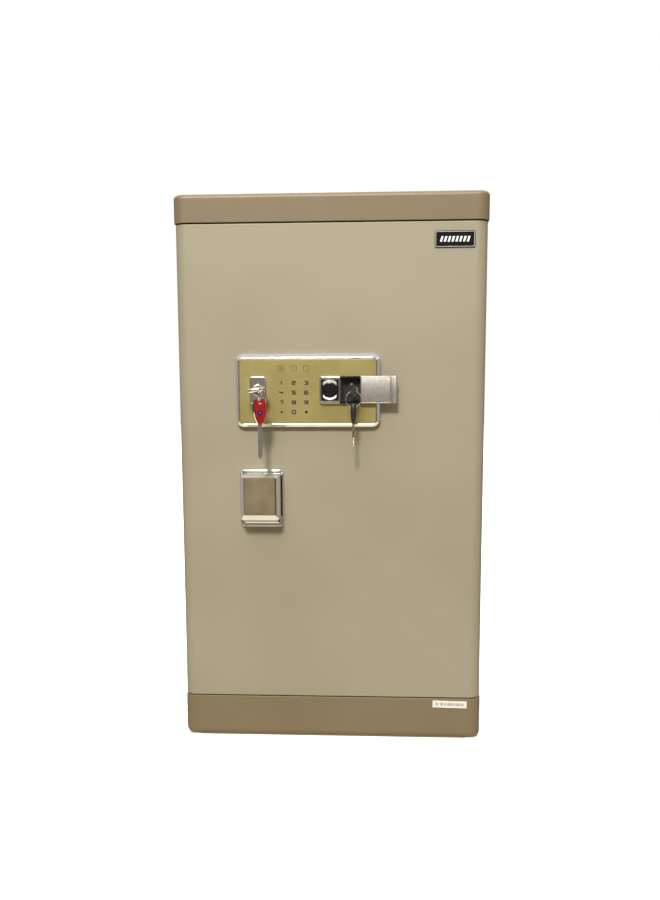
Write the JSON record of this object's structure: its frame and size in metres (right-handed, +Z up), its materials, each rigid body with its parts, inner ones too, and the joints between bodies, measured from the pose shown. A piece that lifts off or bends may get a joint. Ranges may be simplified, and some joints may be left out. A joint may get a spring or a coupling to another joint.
{
  "type": "fire-resistant home safe",
  "caption": "Upright fire-resistant safe with a hinged plug door, sliding lock bolts, a keypad and fingerprint panel, two key locks with hanging keys, a turn handle and a shelf inside.",
  "frame": {"origin": "middle of the underside of the base plate", "axes": "+Z up the height, +Y towards the back, the door faces -Y and hinges on the +X side"},
  "size_m": [0.452, 0.4597, 0.8],
  "materials": {
    "trim": "fine textured powder coat, dark beige",
    "door_paint": "fine textured powder coat, beige",
    "cement": "cast insulating cement, matt grey",
    "inner_paint": "satin powder coat",
    "zinc_steel": "zinc plated",
    "chrome": "polished",
    "gold_face": "brushed, pale gold anodised",
    "taupe_face": "satin, taupe",
    "brass": "turned",
    "black_plastic": "moulded",
    "gloss_black": "polished",
    "red_plastic": "moulded",
    "seal_strip": "matt strip",
    "circuit_board": "solder mask",
    "felt": "needled felt",
    "label": "printed film"
  },
  "bodies": {
    "cabinet": {"base_plate": "trim", "base_plinth": "trim", "base_fill": "cement", "outer_shell": "door_paint", "front_frame": "inner_paint", "inner_liner": "inner_paint", "wall_fill": "cement", "top_cap": "trim", "top_plate": "trim", "top_fill": "cement", "upper_pivot_pin": "zinc_steel", "lower_pivot_pin": "zinc_steel", "door_seal": "seal_strip", "shelf": "inner_paint", "shelf_peg_1": "zinc_steel", "shelf_peg_2": "zinc_steel", "shelf_peg_3": "zinc_steel", "shelf_peg_4": "zinc_steel", "floor_mat": "felt", "serial_label": "label"},
    "door": {"door_outer_panel": "door_paint", "door_fill": "cement", "boltwork_plate": "zinc_steel", "door_inner_cover": "inner_paint", "upper_pivot_bush": "brass", "lower_pivot_bush": "brass", "hinge_side_dog": "zinc_steel", "bolt_guide": "zinc_steel", "solenoid_body": "zinc_steel", "control_board": "circuit_board", "battery_pack": "black_plastic", "handle_escutcheon": "chrome", "panel_frame": "chrome", "panel_fascia": "gold_face", "main_lock_escutcheon": "chrome", "main_lock_barrel": "zinc_steel", "module_tray": "chrome", "reader_bezel": "gloss_black", "reader_sensor": "gloss_black", "key_recess": "black_plastic", "emergency_lock_barrel": "zinc_steel", "name_badge": "gloss_black"},
    "handle": {"handle_knob": "chrome", "handle_face_plate": "taupe_face", "handle_spindle": "zinc_steel"},
    "bolt_set": {"bolt_carriage": "zinc_steel", "lock_bolt_1": "chrome", "lock_bolt_2": "chrome", "lock_bolt_3": "chrome"},
    "plunger": {"solenoid_plunger": "chrome"},
    "cover": {"key_cover": "chrome"},
    "lid": {"battery_lid": "black_plastic"},
    "main_plug": {"main_lock_plug": "brass"},
    "main_key_body": {"main_key": "chrome"},
    "main_ring": {"main_key_ring": "zinc_steel"},
    "main_spare": {"main_spare_key": "red_plastic"},
    "emergency_plug": {"emergency_lock_plug": "brass"},
    "emergency_key_body": {"emergency_key": "black_plastic"},
    "emergency_ring": {"emergency_key_ring": "zinc_steel"},
    "emergency_spare": {"emergency_spare_key": "black_plastic"}
  },
  "joints": [
    {"name": "door_hinge", "type": "hinge", "parent": "cabinet", "child": "door", "pos_m": [0.213, -0.18, 0.411], "axis": [0, 0, 1], "range_deg": [0, 110]},
    {"name": "handle_turn", "type": "hinge", "parent": "door", "child": "handle", "pos_m": [-0.1017, -0.2, 0.3656], "axis": [0, 1, 0], "range_deg": [0, 90]},
    {"name": "bolt_throw", "type": "slide", "parent": "door", "child": "bolt_set", "axis": [-1, 0, 0], "range_m": [0, 0.02]},
    {"name": "plunger_stroke", "type": "slide", "parent": "door", "child": "plunger", "axis": [0, 0, -1], "range_m": [0, 0.0045]},
    {"name": "cover_slide", "type": "slide", "parent": "door", "child": "cover", "axis": [1, 0, 0], "range_m": [-0.0055, 0]},
    {"name": "battery_lid_slide", "type": "slide", "parent": "door", "child": "lid", "axis": [0, 0, -1], "range_m": [0, 0.06]},
    {"name": "main_plug_turn", "type": "hinge", "parent": "door", "child": "main_plug", "pos_m": [-0.1044, -0.2131, 0.5236], "axis": [0, 1, 0], "range_deg": [0, 90]},
    {"name": "main_key_draw", "type": "slide", "parent": "main_plug", "child": "main_key_body", "axis": [0, -1, 0], "range_m": [0, 0.03]},
    {"name": "main_ring_swing", "type": "hinge", "parent": "main_key_body", "child": "main_ring", "pos_m": [-0.09747, -0.24785, 0.52692], "axis": [0, 1, 0], "range_deg": [-15, 15]},
    {"name": "main_spare_swing", "type": "hinge", "parent": "main_ring", "child": "main_spare", "pos_m": [-0.09747, -0.24785, 0.50692], "axis": [0, 1, 0], "range_deg": [-15, 15]},
    {"name": "emergency_plug_turn", "type": "hinge", "parent": "door", "child": "emergency_plug", "pos_m": [0.035, -0.2063, 0.5216], "axis": [0, 1, 0], "range_deg": [0, 90]},
    {"name": "emergency_key_draw", "type": "slide", "parent": "emergency_plug", "child": "emergency_key_body", "axis": [0, -1, 0], "range_m": [0, 0.016]},
    {"name": "emergency_ring_swing", "type": "hinge", "parent": "emergency_key_body", "child": "emergency_ring", "pos_m": [0.035, -0.2383, 0.5216], "axis": [-1, 0, 0], "range_deg": [-8, 20]},
    {"name": "emergency_spare_swing", "type": "hinge", "parent": "emergency_ring", "child": "emergency_spare", "pos_m": [0.035, -0.2383, 0.4996], "axis": [-1, 0, 0], "range_deg": [-8, 20]}
  ],
  "couplings": [
    {"joint": "bolt_throw", "follows": "handle_turn", "m_per_rad": 0.012732}
  ]
}
